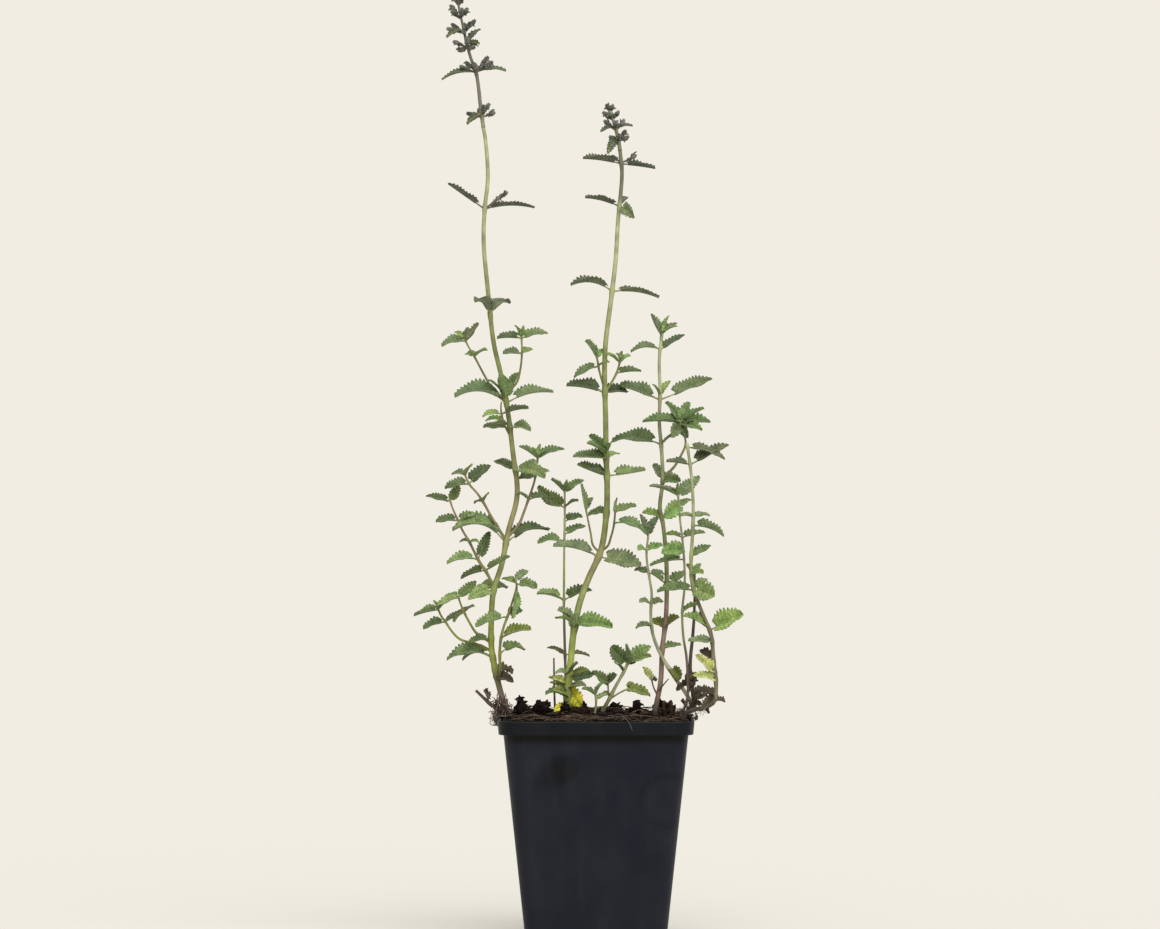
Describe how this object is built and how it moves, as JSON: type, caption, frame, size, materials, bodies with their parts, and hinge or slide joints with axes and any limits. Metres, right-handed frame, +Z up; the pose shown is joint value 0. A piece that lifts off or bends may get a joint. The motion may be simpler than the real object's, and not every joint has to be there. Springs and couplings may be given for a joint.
{
  "type": "catmint plant in a nursery pot",
  "caption": "Tall, airy catmint plant with square stems, opposite toothed grey-green leaves and dusky flower spikes, standing in a square dark plastic nursery pot of soil.",
  "frame": {"origin": "centre of the underside of the pot", "axes": "+Z up along the plant, -Y towards the front face, +X to the right seen from the front"},
  "size_m": [0.153, 0.0932, 0.4363],
  "materials": {
    "pot": "dark slate-grey moulded plastic, faintly dusty and smudged",
    "soil": "dark peat and bark soil, damp, with fine roots",
    "foliage": "grey-green, softly hairy, wrinkled leaves on yellow-green square stems",
    "dead_wood": "dry brown old stem",
    "calyces": "dusky purple-grey hairy calyces"
  },
  "bodies": {
    "root": {"pot": "pot", "soil": "soil", "stem_left": "foliage", "stem_middle": "foliage", "stem_thin": "foliage", "stem_right": "foliage", "stem_far_right": "foliage", "stem_bare_right": "foliage", "stem_slender_right": "foliage", "stem_leaning": "foliage", "shoot_low": "foliage", "shoot_front": "foliage", "twig_left": "dead_wood", "dead_stub": "dead_wood", "spike_left": "calyces", "spike_middle": "calyces"}
  },
  "joints": []
}
